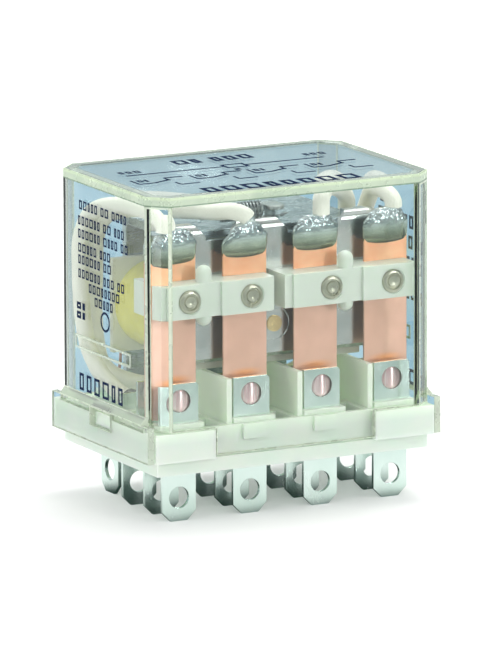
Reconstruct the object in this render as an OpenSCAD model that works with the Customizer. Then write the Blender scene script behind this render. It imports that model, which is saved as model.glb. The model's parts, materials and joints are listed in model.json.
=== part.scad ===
// Plug-in power relay with four changeover poles under a clear clip-on cover.
// +Z is up, the front (normally closed contacts) faces -Y, and the part stands on its blade tips at Z 0.

/* [Case] */
// Width of the clear cover, without its side bands
cover_w = 40; // [39.5:0.1:41]
// Depth of the clear cover, front to back
cover_d = 27.5; // [27:0.1:29]
// Height of the cover's top above the underside of the base
case_h = 35.4; // [35:0.1:38]
// Thickness of the cover's walls
wall = 1.1; // [0.8:0.05:1.1]
// Thickness of the cover's top
top_wall = 1.2; // [0.8:0.1:1.3]
// Size of the chamfer on the cover's four upright corners
corner = 2.4; // [1.5:0.1:3]
// How far the side bands stand out from the cover's walls
band_out = 0.75; // [0.6:0.05:1]
// Height of the base's top face above its underside
base_h = 5.6; // [5.4:0.1:5.8]
// Height of the walls between the poles above the base's top face
barrier_h = 5.7; // [4:0.1:5.7]

/* [Blades] */
// Distance from pole to pole
pitch = 10; // [9.8:0.05:10.2]
// Length of the blades under the base
blade_len = 6.4; // [5:0.1:8]
// Width of a blade
blade_w = 4.75; // [4.5:0.05:4.8]
// Thickness of every terminal
blade_t = 0.5; // [0.4:0.05:0.5]
// Diameter of the wire hole in each blade
wire_hole_d = 2.7; // [2:0.1:3]
// Size of the corner cuts at the blade tips
tip_cut = 1.2; // [0.5:0.1:1.4]

/* [Contacts] */
// Width of the upper part of the contact terminals
tab_w = 5.1; // [4.8:0.1:5.4]
// Diameter of the rivet that carries a fixed contact
contact_rivet_d = 2.8; // [2.2:0.1:3]
// Diameter of a contact's head
contact_d = 3.2; // [3:0.1:3.4]
// Width of a moving contact strip
strip_w = 6.1; // [5.6:0.1:6.1]
// Thickness of a moving contact strip
strip_t = 0.3; // [0.2:0.05:0.3]
// Distance of each rivet from the middle of its carrier
rivet_offset = 4.35; // [4.2:0.05:4.5]

/* [Magnet] */
// Half the width of the finished coil
coil_half_w = 13.2; // [12.5:0.1:13.2]
// Half the height of the finished coil
coil_half_h = 5.7; // [5:0.1:5.7]
// Half the width of the armature plate
armature_half_w = 15.8; // [15.5:0.1:16.2]
// Thickness of the armature plate
armature_t = 0.9; // [0.8:0.05:0.9]
// Turns of the return spring
spring_turns = 12; // [8:1:13]
// Diameter of the return spring's wire
spring_wire_d = 0.34; // [0.2:0.02:0.36]
// Outer diameter of the sleeved wires to the moving strips
sleeve_d = 2.2; // [1.6:0.1:2.2]

/* [Hidden] */

// Levels above the blade tips
under_z = blade_len;
skirt_top = under_z + 1.8;
base_top = under_z + base_h;
cover_top = under_z + case_h;
ceiling_z = cover_top - top_wall;
tab_top = base_top + 5.6;
contact_z = base_top + 3.4;
coil_z = base_top + 11.9;
pin_z = base_top + 11.3;
carrier_z = base_top + 16.2;
pivot_z = base_top + 22.7;
yoke_t = 1.1;
yoke_top = pivot_z + yoke_t;
armature_low = base_top + 7.1;
arm_flange_z = yoke_top + 0.05;
strip_top = pivot_z + 1.9;
foot_z = base_top - 2.6;

// Depth positions, counted from the middle of the base, front is negative
nc_y = -10.4;
no_y = -5.6;
com_y = 0.5;
coil_blade_y = 8.2;
strip_y = -8.8;
armature_y = -6.4;
yoke_front = armature_y + 0.05;
yoke_back = cover_d / 2 - wall - 1.35;
pole_y = armature_y + 0.95;
carrier_front = strip_y - 3.4;
flange_front = pole_y + 0.55;
flange_back = yoke_back - yoke_t - 0.2;
flange_t = 0.8;

// Across the width
pole_x = [-1.5 * pitch, -0.5 * pitch, 0.5 * pitch, 1.5 * pitch];
half_w = cover_w / 2;
half_d = cover_d / 2;
tongue_half_w = 11.25;
block_inner_x = tongue_half_w + 0.1;
coil_blade_x = 1.5 * pitch;
foot_x = 6;
foot_half_w = 2;
rivet_x = [for (side = [-1, 1]) for (end = [-1, 1]) side * pitch + end * rivet_offset];

// Clearances and small sizes
fit = 0.04;
skirt_in = 0.8;
base_in = 0.3;
band_in = 0.15;
rivet_d = 1.5;
rivet_head_d = 3;
rivet_head_t = 0.22;
sleeve_r = sleeve_d / 2;
spring_r = 1.0;
spring_y = armature_y + 2.5;
spring_z = yoke_top + 1.5;
spring_left = -5.7;
spring_right = -0.1;

// Colours
mint = [0.82, 0.92, 0.84];
ivory = [0.93, 0.95, 0.88];
zinc = [0.76, 0.80, 0.80];
copper = [0.86, 0.68, 0.58];
silver = [0.85, 0.84, 0.80];
nickel = [0.72, 0.74, 0.73];
brass = [0.86, 0.74, 0.50];
clear = [0.75, 0.86, 0.88, 0.35];
enamel = [0.72, 0.30, 0.16];
tape = [0.86, 0.82, 0.36];
solder = [0.70, 0.75, 0.76];
sleeve = [0.92, 0.90, 0.83];
dark_steel = [0.30, 0.33, 0.33];

// ---- Helpers ----

// A block between two opposite corners
module block(low, high) {
    translate(low) cube(high - low);
}

// A flat sheet standing in the XZ plane: its outline, its front face and its thickness
module sheet_xz(front, thick) {
    translate([0, front + thick, 0]) rotate([90, 0, 0]) linear_extrude(thick) children();
}

// A round bar along Y
module bar_y(x, z, front, back, d) {
    translate([x, back, z]) rotate([90, 0, 0]) cylinder(d = d, h = back - front, $fn = 48);
}

// The children on the right, and their mirror image on the left
module both_sides() {
    children();
    mirror([1, 0, 0]) children();
}

// A rectangle with fully rounded ends, about the origin
module obround(half_wide, half_high) {
    square([2 * (half_wide - half_high), 2 * half_high], center = true);
    for (s = [-1, 1]) translate([s * (half_wide - half_high), 0]) circle(r = half_high, $fn = 64);
}

function unit(v) = v / norm(v);

// A point on the smooth curve between b and c, with a before them and d after them
function curve_point(a, b, c, d, t) = 0.5 * (2 * b + (c - a) * t
    + (2 * a - 5 * b + 4 * c - d) * t * t + (3 * b - a - 3 * c + d) * t * t * t);

// A smooth curve through the points p, with k steps between neighbours
function smooth(p, k) = concat(
    [for (i = [0:len(p) - 2]) for (j = [0:k - 1])
        curve_point(p[max(i - 1, 0)], p[i], p[i + 1], p[min(i + 2, len(p) - 1)], j / k)],
    [p[len(p) - 1]]);

function directions(p) = [for (i = [0:len(p) - 1])
    unit(p[min(i + 1, len(p) - 1)] - p[max(i - 1, 0)])];

// Side directions carried along the curve without twist
function carried(dirs, side, i = 0) = i >= len(dirs) ? []
    : let (s = unit(side - (side * dirs[i]) * dirs[i])) concat([s], carried(dirs, s, i + 1));

// A solid round tube of radius r swept along the points p
module swept(p, r, sides, first_side) {
    dirs = directions(p);
    across = carried(dirs, first_side);
    n = len(p);
    points = [for (i = [0:n - 1]) for (j = [0:sides - 1])
        p[i] + r * (cos(360 * j / sides) * across[i] + sin(360 * j / sides) * cross(dirs[i], across[i]))];
    walls = [for (i = [0:n - 2]) for (j = [0:sides - 1])
        let (a = i * sides + j, b = i * sides + (j + 1) % sides)
        each [[a, a + sides, b + sides], [a, b + sides, b]]];
    near = [[for (j = [0:sides - 1]) j]];
    far = [[for (j = [sides - 1:-1:0]) (n - 1) * sides + j]];
    polyhedron(points, concat(walls, near, far), convexity = 8);
}

// ---- Case ----

// The cover's eight-sided outline, shrunk by d
module cover_outline(d) {
    x = half_w - d;
    y = half_d - d;
    c = corner - d * 0.5858;
    polygon([[-x + c, -y], [x - c, -y], [x, -y + c], [x, y - c],
        [x - c, y], [-x + c, y], [-x, y - c], [-x, -y + c]]);
}

// A terminal's slot through the base, under the given centre
module slot(x, y, wide, deep) {
    block([x - wide / 2, y - deep / 2, under_z - 1], [x + wide / 2, y + deep / 2, base_top + 2]);
}

// The yoke's two feet, up to the level high
module yoke_feet(high) {
    for (s = [-1, 1]) block([s * foot_x - foot_half_w, yoke_back - yoke_t, foot_z],
        [s * foot_x + foot_half_w, yoke_back, high]);
}

module base() {
    wall_t = 0.7;
    barrier_front = -11.4;
    barrier_back = -2.5;
    recess_y = half_d - wall - 0.55;
    side_x = half_w - base_in;
    pocket_deep = 2.2;
    skirt_x = half_w - skirt_in;
    skirt_y = half_d - 0.85;
    color(mint) difference() {
        union() {
            // Inset skirt, main block and the four corner blocks
            block([-skirt_x, -skirt_y, under_z], [skirt_x, skirt_y, skirt_top]);
            block([-side_x, -recess_y, skirt_top], [side_x, recess_y, base_top]);
            for (s = [0, 1]) mirror([0, s, 0]) both_sides()
                block([block_inner_x, -half_d + 0.05, skirt_top], [side_x, -recess_y + 1, base_top - 0.1]);
            // Locating bumps in the front recess
            for (i = [1, 2]) block([pole_x[i] - 2.0, -recess_y - 0.45, base_top - 1.9],
                [pole_x[i] + 1.2, -recess_y + 0.5, base_top]);
            // Walls between the poles
            for (i = [1:3]) block([pole_x[i] - 3.85, barrier_front, base_top - 0.5],
                [pole_x[i] - 3.85 + wall_t, barrier_back, base_top + barrier_h]);
            // Raised seats of the front and middle terminals
            for (x = pole_x) {
                block([x - 2.9, -11.5, base_top - 0.5], [x + 2.9, -9.7, base_top + 0.6]);
                block([x - 2.9, -6.6, base_top - 0.5], [x + 2.9, -4.9, base_top + 0.6]);
                block([x - 2.5, -0.6, base_top - 0.5], [x + 2.5, 1.4, base_top + 0.4]);
            }
            // Snap lugs for the cover's side windows
            both_sides() translate([side_x - 0.3, -2.3, base_top]) rotate([-90, 0, 0])
                linear_extrude(4.6) polygon([[0, 0.2], [0.3, 0.3], [0.75, 1.4], [0, 1.4]]);
        }
        for (x = pole_x) {
            slot(x, nc_y, tab_w, blade_t);
            slot(x, no_y, tab_w, blade_t);
            slot(x, com_y, tab_w, blade_t);
            // Pocket beside each terminal
            block([x + 3.2, -11.3, base_top - pocket_deep], [x + 5.4, -7, base_top + 0.1]);
        }
        for (s = [-1, 1]) slot(s * coil_blade_x, coil_blade_y, blade_t, tab_w);
        // Slots for the yoke's feet
        yoke_feet(base_top + 0.1);
    }
}

module cover() {
    band_low = skirt_top;
    band_high = base_top + 0.9;
    side_wall_d = cover_d - 2 * corner;
    side_y = half_d - 0.25;
    x_in = half_w - band_in;
    x_out = half_w + band_out;
    color(clear) difference() {
        union() {
            difference() {
                translate([0, 0, base_top]) linear_extrude(cover_top - base_top) cover_outline(0);
                translate([0, 0, base_top - 1]) linear_extrude(ceiling_z - base_top + 1)
                    cover_outline(wall);
            }
            // Front and back tongues over the base's recesses
            for (s = [0, 1]) mirror([0, s, 0])
                block([-tongue_half_w, -half_d, skirt_top + 0.4],
                    [tongue_half_w, -half_d + wall, base_top + 0.5]);
            // Side bands that grip the base
            both_sides() {
                block([x_in, -side_y, band_low], [x_out, side_y, band_high]);
                translate([0, side_wall_d / 2, 0]) rotate([90, 0, 0]) linear_extrude(side_wall_d)
                    polygon([[x_in, band_low], [x_out, band_low], [x_out, band_high],
                        [half_w, band_high + 0.9], [x_in, band_high + 0.9]]);
            }
            // Low raised frame on each side wall
            both_sides() difference() {
                block([half_w - 0.2, -7.5, base_top + 7.4], [half_w + 0.12, 7.9, base_top + 9.2]);
                block([half_w, -7.2, base_top + 7.7], [half_w + 1, 7.6, base_top + 8.9]);
            }
        }
        // Side windows for the snap lugs
        both_sides() block([x_in - 1, -2.8, base_top - 1.6], [x_out + 1, 2.8, base_top + 0.7]);
    }
}

// ---- Terminals ----

// Outline of a terminal whose tab reaches the level top
module terminal_outline(top, top_w) {
    difference() {
        union() {
            polygon([[-blade_w / 2, tip_cut], [-blade_w / 2 + tip_cut, 0], [blade_w / 2 - tip_cut, 0],
                [blade_w / 2, tip_cut], [blade_w / 2, under_z + 1], [-blade_w / 2, under_z + 1]]);
            polygon([[-tab_w / 2, under_z], [tab_w / 2, under_z], [tab_w / 2, base_top + 1.2],
                [top_w / 2, base_top + 1.5], [top_w / 2, top - 0.3], [top_w / 2 - 0.3, top],
                [-top_w / 2, top], [-top_w / 2, base_top + 1.5], [-tab_w / 2, base_top + 1.2]]);
        }
        translate([0, blade_len - 3.4]) circle(d = wire_hole_d, $fn = 48);
    }
}

// A front or middle terminal, with a hole for its contact rivet
module contact_terminal(i, y, top) {
    color(zinc) translate([pole_x[i - 1], 0, 0]) difference() {
        sheet_xz(y - blade_t / 2, blade_t) terminal_outline(top, tab_w);
        bar_y(0, contact_z, y - 1, y + 1, contact_rivet_d + 2 * fit);
    }
}

module nc_terminal(i) {
    contact_terminal(i, nc_y, tab_top);
}

module no_terminal(i) {
    contact_terminal(i, no_y, tab_top - 0.4);
}

module com_terminal(i) {
    color(zinc) translate([pole_x[i - 1], 0, 0])
        sheet_xz(com_y - blade_t / 2, blade_t) terminal_outline(base_top + 2.5, 3.6);
}

module coil_terminal(side) {
    color(zinc) translate([side * coil_blade_x, coil_blade_y, 0]) rotate([0, 0, 90])
        sheet_xz(-blade_t / 2, blade_t) terminal_outline(base_top + 2, 2.4);
}

// ---- Contacts ----

// A fixed contact: its rivet fills the tab's hole, its head stands on the side that faces the strip
module nc_contact(i) {
    back = nc_y + blade_t / 2;
    color(copper) {
        bar_y(pole_x[i - 1], contact_z, nc_y - blade_t / 2 - 0.08, back + 0.1, contact_rivet_d);
        bar_y(pole_x[i - 1], contact_z, back, back + 0.6, contact_d);
    }
}

module no_contact(i) {
    front = no_y - blade_t / 2;
    color(copper) {
        bar_y(pole_x[i - 1], contact_z, front - 0.1, no_y + blade_t / 2 + 0.08, contact_rivet_d);
        bar_y(pole_x[i - 1], contact_z, front - 0.75, front, contact_d);
    }
}

// A moving contact: one rivet with a head on each side of the strip
module moving_contact(i) {
    front = strip_y - strip_t / 2;
    back = strip_y + strip_t / 2;
    color(silver) {
        bar_y(pole_x[i - 1], contact_z, nc_y + blade_t / 2 + 0.64, front, contact_d - 0.4);
        bar_y(pole_x[i - 1], contact_z, back, back + 0.7, contact_d - 0.4);
        bar_y(pole_x[i - 1], contact_z, front - 0.1, back + 0.1, rivet_d);
    }
}

// A moving strip: straight sides, a sloping left shoulder and a cut right corner under the solder
module contact_strip(i) {
    h = strip_w / 2;
    x = pole_x[i - 1];
    color(copper) difference() {
        translate([x, 0, 0]) sheet_xz(strip_y - strip_t / 2, strip_t)
            polygon([[-h, base_top + 1.2], [h, base_top + 1.2], [h, strip_top - 1.4], [h - 1.3, strip_top],
                [-h + 2.9, strip_top], [-h + 1.6, strip_top - 0.6], [-h + 0.3, strip_top - 2.3],
                [-h, strip_top - 3.6]]);
        bar_y(x, contact_z, strip_y - 1, strip_y + 1, rivet_d + 2 * fit);
        for (r = rivet_x) bar_y(r, carrier_z, strip_y - 1, strip_y + 1, rivet_d + 2 * fit);
    }
}

// Solder that wraps the strip's upper end and its wire, thicker on the front
module strip_solder(i) {
    h = strip_w / 2;
    low = strip_top - 3.9;
    high = strip_top + 0.3;
    front = strip_y - 0.85;
    thick = 1.55;
    color(solder) translate([pole_x[i - 1], 0, 0]) difference() {
        sheet_xz(front, thick) polygon([[-h + 0.2, low], [h - 0.2, low], [h + 0.2, high - 2],
            [h - 0.7, high - 0.5], [h - 1.7, high], [-h + 3, high], [-h + 1.6, high - 0.7],
            [-h + 0.1, high - 2.6]]);
        block([-h - 1, strip_y - strip_t / 2, low - 1], [h + 1, strip_y + strip_t / 2, strip_top]);
    }
}

// ---- Moving assembly ----

// A moulded carrier that clamps two strips to the armature. It lies between left_x and right_x,
// and one end reaches back round the armature's edge.
module carrier(side, left_x, right_x) {
    half_h = 2.15;
    arm_t = 1.1;
    bridge = carrier_front + 0.4;
    back = armature_y - armature_t;
    low = carrier_z - half_h;
    high = carrier_z + half_h;
    middle = side * pitch;
    pin_r = 1;
    pin_x = middle - 1.75;
    pin_y = bridge + pin_r;
    arm_x = side > 0 ? right_x - arm_t : left_x;
    color(ivory) difference() {
        union() {
            block([left_x, bridge, low], [right_x, back, high]);
            // Thicker blocks around the rivets
            block([max(left_x + 0.8, middle - rivet_offset - 5.35), carrier_front, low],
                [middle - rivet_offset + 1.45, bridge + 0.5, high]);
            block([middle + rivet_offset - 4.2, carrier_front, low],
                [min(right_x, middle + rivet_offset + 2.85), bridge + 0.5, high]);
            block([arm_x, bridge, low], [arm_x + arm_t, armature_y + 1, high]);
            // Guide pin with round ends, up and down
            translate([pin_x, pin_y, low - 0.3]) cylinder(r = pin_r, h = 2 * half_h + 1.4, $fn = 32);
            for (z = [low - 0.3, high + 1.1]) translate([pin_x, pin_y, z]) sphere(r = pin_r, $fn = 32);
        }
        // Channels for the strips
        for (x = pole_x) block([x - strip_w / 2, strip_y - strip_t / 2, low - 5],
            [x + strip_w / 2, strip_y + strip_t / 2, high + 5]);
        for (r = rivet_x) bar_y(r, carrier_z, carrier_front - 1, back + 1, rivet_d + 2 * fit);
        // Shallow seat around each rivet head
        for (r = rivet_x) bar_y(r, carrier_z, carrier_front - 1, carrier_front + 0.12, rivet_head_d + 0.4);
    }
}

// Steel rivets through carrier, strip and armature
module carrier_rivets() {
    color(nickel) for (r = rivet_x) {
        bar_y(r, carrier_z, carrier_front, armature_y + 0.1, rivet_d);
        bar_y(r, carrier_z, carrier_front - rivet_head_t + 0.12, carrier_front + 0.12, rivet_head_d);
        bar_y(r, carrier_z, armature_y, armature_y + 0.3, 2.4);
    }
}

// The armature: a plate with bent flanges that hook over the yoke's front edge
module armature() {
    front = armature_y - armature_t;
    flange_back_y = armature_y + 1.15;
    flange_high = arm_flange_z + armature_t;
    cut = 1.4;
    bend_r = 1.2;
    color(nickel) difference() {
        union() {
            block([-armature_half_w, front, armature_low], [armature_half_w, armature_y, pivot_z]);
            for (f = [[-armature_half_w, -9.6], [-6.2, 2], [9.1, armature_half_w]]) {
                sheet_xz(front, armature_t) polygon([[f[0], pivot_z - 0.2], [f[1], pivot_z - 0.2],
                    [f[1], pivot_z + 0.5], [f[1] - cut, flange_high], [f[0] + cut, flange_high],
                    [f[0], pivot_z + 0.5]]);
                block([f[0] + cut, front, arm_flange_z], [f[1] - cut, flange_back_y, flange_high]);
            }
        }
        // Outside of the flanges' bend
        translate([-half_w, front, flange_high - bend_r]) rotate([90, 0, 90])
            linear_extrude(cover_w) difference() {
                translate([-1, 0]) square(bend_r + 1);
                translate([bend_r, 0]) circle(r = bend_r, $fn = 64);
            }
        // Bevel along the lower edge, and the stamped ring around the residual pin
        translate([0, front, armature_low]) rotate([45, 0, 0]) cube([50, 0.7, 0.7], center = true);
        difference() {
            bar_y(0, pin_z, front - 0.1, front + 0.12, 4.2);
            bar_y(0, pin_z, front - 1, front + 1, 3.7);
        }
        bar_y(0, pin_z, front - 1, armature_y + 1, rivet_d + 2 * fit);
        for (r = rivet_x) bar_y(r, carrier_z, front - 1, armature_y + 1, rivet_d + 2 * fit);
    }
}

// Brass pin that keeps the armature off the core
module residual_pin() {
    front = armature_y - armature_t;
    color(brass) {
        bar_y(0, pin_z, front - 0.15, armature_y + 0.15, rivet_d);
        bar_y(0, pin_z, front - 0.15, front, 2.1);
    }
}

// Return spring: a torsion coil over the hinge, one leg on the armature, one round the bracket's tab
module return_spring() {
    steps = 12;
    count = spring_turns * steps;
    turns = [for (i = [0:count]) [spring_left + (spring_right - spring_left) * i / count,
        spring_y - spring_r * sin(360 * i / steps), spring_z - spring_r * cos(360 * i / steps)]];
    rest_z = arm_flange_z + armature_t + spring_wire_d / 2 + 0.08;
    leg = [[spring_left + 1.3, spring_y - 2.1, rest_z], [spring_left + 1.1, spring_y - 1.5, rest_z],
        [spring_left + 0.2, spring_y - 1.2, rest_z], [spring_left - 0.1, spring_y - 0.6, spring_z - 0.8]];
    hook = [[0.5, spring_y - 0.4, spring_z - spring_r - 0.05], [1.3, spring_y - 1.1, spring_z - 0.8],
        [2.2, spring_y - 1.2, spring_z - 0.75], [3.0, spring_y - 1.1, spring_z - 0.5]];
    color(dark_steel) swept(concat(leg, turns, hook), spring_wire_d / 2, 6, [1, 0, 0.2]);
}

// Bracket on the yoke that holds the spring's other leg with a rounded tab
module spring_bracket() {
    low = yoke_top;
    tab_z = spring_z + 0.05;
    color(nickel) {
        block([0.4, spring_y + 1.6, low], [2.9, spring_y + 5, low + 0.5]);
        block([0.4, spring_y + 1.6, low], [2.9, spring_y + 2.1, tab_z + 0.5]);
        block([0.4, spring_y - 0.4, tab_z], [2.9, spring_y + 2.1, tab_z + 0.5]);
        translate([1.65, spring_y - 0.4, tab_z]) cylinder(r = 1.25, h = 0.5, $fn = 48);
    }
}

// Sleeved wires from the strips, over the coil, down its sides and to the rear terminals.
// The routes stand on a base whose top face is at routes_base_top.
routes_base_top = 12;
function pigtail_route(i) =
    i == 1 ? [[-15.9, -8.8, 37], [-15.9, -8.8, 37.6], [-16.1, -8.4, 38.3], [-16.7, -6.6, 39.1],
        [-17, 0, 38.7], [-17.2, 7, 36.8], [-17.3, 10.2, 33], [-17.3, 10.6, 28], [-17.3, 9.4, 21],
        [-16.9, 6.8, 16.8], [-15.4, 4, 14], [-15, 1.5, 13.6]]
    : i == 2 ? [[-4.5, -8.8, 37.4], [-5, -8.6, 37.9], [-6.2, -7.4, 38.2], [-7.4, -5, 37.8],
        [-9.6, -1.2, 37.6], [-12.4, 3.6, 37.3], [-14.6, 8, 36], [-14.9, 10.6, 33], [-14.9, 11.3, 28],
        [-14.9, 11.2, 20], [-14, 9.8, 15.6], [-10.5, 6.4, 14], [-5.6, 3.8, 13.7], [-5, 1.5, 13.6]]
    : i == 3 ? [[5.9, -8.8, 37], [5.9, -8.8, 38], [6.2, -8.4, 38.9], [8, -6, 39.4], [11, -3, 39],
        [13.8, -0.6, 37.2], [14.8, 1.2, 34.5], [14.9, 4.4, 30], [14.9, 9, 24], [14.9, 10.8, 19],
        [14, 9.8, 15.6], [10.5, 6.4, 14], [5.6, 3.8, 13.7], [5, 1.5, 13.6]]
    : [[16.2, -8.8, 37.1], [16.2, -8.8, 37.6], [16.1, -8.2, 38.3], [16, -6.4, 38.8], [16.4, -3.4, 38.5],
        [17.2, -0.4, 36.6], [17.4, 2, 33], [17.4, 5.4, 28], [17.4, 8.4, 21], [16.9, 6.8, 16.8],
        [15.4, 4, 14], [15, 1.5, 13.6]];

module pigtail(i) {
    lift = [0, 0, base_top - routes_base_top];
    color(sleeve) swept(smooth([for (q = pigtail_route(i)) q + lift], 2), sleeve_r, 8, [1, 0, 0.1]);
}

// ---- Magnet ----

// L-shaped steel yoke: top plate, back plate and two feet in the base
module yoke() {
    half = 12.5;
    back_half = 11;
    color(nickel) difference() {
        union() {
            block([-half, yoke_front, pivot_z], [half, yoke_back, yoke_top]);
            block([-back_half, yoke_back - yoke_t, base_top], [back_half, yoke_back, yoke_top]);
            yoke_feet(base_top);
        }
        translate([0, yoke_back + 1, coil_z]) rotate([90, 0, 0]) linear_extrude(yoke_t + 2) obround(6, 2.2);
    }
}

// Flat steel core with its pole face towards the armature and a staked tail in the yoke
module core() {
    shoulder = yoke_back - yoke_t;
    color(nickel) {
        translate([0, shoulder, coil_z]) rotate([90, 0, 0])
            linear_extrude(shoulder - pole_y) obround(7.1, 2.5);
        translate([0, yoke_back + 0.2, coil_z]) rotate([90, 0, 0])
            linear_extrude(yoke_t + 0.2) obround(6, 2.2);
    }
}

module bobbin() {
    color(ivory) difference() {
        union() {
            for (y = [flange_front, flange_back - flange_t]) translate([0, y + flange_t, coil_z])
                rotate([90, 0, 0]) linear_extrude(flange_t) square([27, 12.2], center = true);
            translate([0, flange_back, coil_z]) rotate([90, 0, 0])
                linear_extrude(flange_back - flange_front) obround(8, 3.4);
        }
        translate([0, flange_back + 1, coil_z]) rotate([90, 0, 0])
            linear_extrude(flange_back - flange_front + 2) obround(7.1, 2.5);
    }
}

// A hollow length of the coil's section between the bobbin's flanges
module coil_ring(outer_w, outer_h, inner_w, inner_h) {
    translate([0, flange_back - flange_t, coil_z]) rotate([90, 0, 0])
        linear_extrude(flange_back - flange_front - 2 * flange_t) difference() {
            obround(outer_w, outer_h);
            obround(inner_w, inner_h);
        }
}

module coil_winding() {
    color(enamel) coil_ring(coil_half_w - 0.3, coil_half_h - 0.3, 8, 3.4);
}

module coil_tape() {
    color(tape) coil_ring(coil_half_w, coil_half_h, coil_half_w - 0.3, coil_half_h - 0.3);
}

// Thin coil ends from the back flange to the coil terminals
module coil_lead(side) {
    out_y = flange_back + 0.3;
    color(enamel) swept(smooth([[side * 11.7, out_y, coil_z - 5.6], [side * 12, out_y, base_top + 3.4],
        [side * 13, out_y - 0.5, base_top + 1.5], [side * 14.1, coil_blade_y + 0.3, base_top + 1.1]], 3),
        0.2, 8, [0, 1, 0]);
}

// Solder on the rear terminals' lugs and on the coil terminals
module lower_solder() {
    drop = 0.4;
    color(solder) {
        for (x = pole_x) bar_y(x, base_top + 1.6, com_y + blade_t / 2, 1.35, 2.4);
        both_sides() translate([coil_blade_x - blade_t / 2 - drop, coil_blade_y, base_top + 1.1])
            rotate([0, 90, 0]) cylinder(r = 0.6, h = drop, $fn = 32);
    }
}

// ---- Assembly ----

base();
for (i = [1:4]) {
    nc_terminal(i);
    no_terminal(i);
    com_terminal(i);
    nc_contact(i);
    no_contact(i);
    contact_strip(i);
    moving_contact(i);
    strip_solder(i);
    pigtail(i);
}
coil_terminal(-1);  // coil_terminal_left
coil_terminal(1);  // coil_terminal_right
carrier(-1, -17.8, -2.35);  // carrier_left
carrier(1, -0.8, 17.65);  // carrier_right
carrier_rivets();
armature();
residual_pin();
return_spring();
spring_bracket();
yoke();
core();
bobbin();
coil_winding();
coil_tape();
coil_lead(-1);  // coil_lead_left
coil_lead(1);  // coil_lead_right
lower_solder();
cover();
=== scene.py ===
"""Looks of the four-pole plug-in relay: clear cover, moulded base, copper strips, soldered wires and blades.

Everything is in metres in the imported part's own frame: +Z up, front (normally closed contacts) towards -Y.
"""

import json
import math

import bmesh
import bpy
from mathutils import Matrix, Vector, noise


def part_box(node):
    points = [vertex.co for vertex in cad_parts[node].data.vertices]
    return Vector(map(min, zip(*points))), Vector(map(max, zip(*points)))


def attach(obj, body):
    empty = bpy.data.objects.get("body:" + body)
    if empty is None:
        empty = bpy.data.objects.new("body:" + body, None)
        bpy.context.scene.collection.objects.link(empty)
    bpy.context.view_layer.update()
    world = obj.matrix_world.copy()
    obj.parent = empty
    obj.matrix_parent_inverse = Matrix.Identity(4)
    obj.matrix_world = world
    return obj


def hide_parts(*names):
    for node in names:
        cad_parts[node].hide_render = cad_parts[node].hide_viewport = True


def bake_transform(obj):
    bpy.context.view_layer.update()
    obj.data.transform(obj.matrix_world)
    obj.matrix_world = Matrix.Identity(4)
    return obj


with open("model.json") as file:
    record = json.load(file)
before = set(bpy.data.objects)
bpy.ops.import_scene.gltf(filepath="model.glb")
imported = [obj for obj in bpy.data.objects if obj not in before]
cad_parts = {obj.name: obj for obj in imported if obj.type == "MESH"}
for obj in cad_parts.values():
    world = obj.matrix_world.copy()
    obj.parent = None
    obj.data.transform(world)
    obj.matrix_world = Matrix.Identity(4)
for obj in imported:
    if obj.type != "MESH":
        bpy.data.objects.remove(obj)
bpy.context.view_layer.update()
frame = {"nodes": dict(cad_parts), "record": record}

MM = 0.001
POLES = (1, 2, 3, 4)
ROOT = "root"
BODY = {node: body for body, nodes in frame["record"]["behaviour"]["bodies"].items() for node in nodes}

# Points nearer together than this, in metres, are one point
SAME_POINT = 1e-6
# Faces that meet at a smaller turn than the first are one flat face, and a larger turn than the second is a
# sharp edge, which is rounded
FLAT_TURN, SHARP_TURN = math.radians(1.0), math.radians(35)
# How far each colour of light spreads inside the moulded plastic, as shares of the scale
GREENISH = (0.8, 1.0, 0.75)


# ---------------------------------------------------------------- places and measures

def centre(node):
    low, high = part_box(node)
    return [(a + b) / 2 for a, b in zip(low, high)]


# Height above the floor of the terminals' raised seats on the base
SEATS_TOP = 12.7 * MM
# How far the cover's side bands stand out from its walls, in mm
SIDE_BAND = 0.75
WALL_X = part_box("cover")[1][0] - SIDE_BAND * MM
BASE_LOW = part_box("base")[0][2]
# Heights of the cover just over its side bands, and round the low frame on each side wall
BANDS_HIGH = BASE_LOW + 7.6 * MM
FRAME_LOW, FRAME_HIGH = BASE_LOW + 12.8 * MM, BASE_LOW + 15.0 * MM
COVER_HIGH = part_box("cover")[1][2]
TOP_THICKNESS = 1.2 * MM

STRIP_Y = centre("contact_strip_1")[1]
POLE_X = [centre(f"nc_terminal_{i}")[0] for i in POLES]
STRIP_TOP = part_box("contact_strip_1")[1][2]
STRIP_HALF = (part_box("contact_strip_1")[1][0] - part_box("contact_strip_1")[0][0]) / 2

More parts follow.
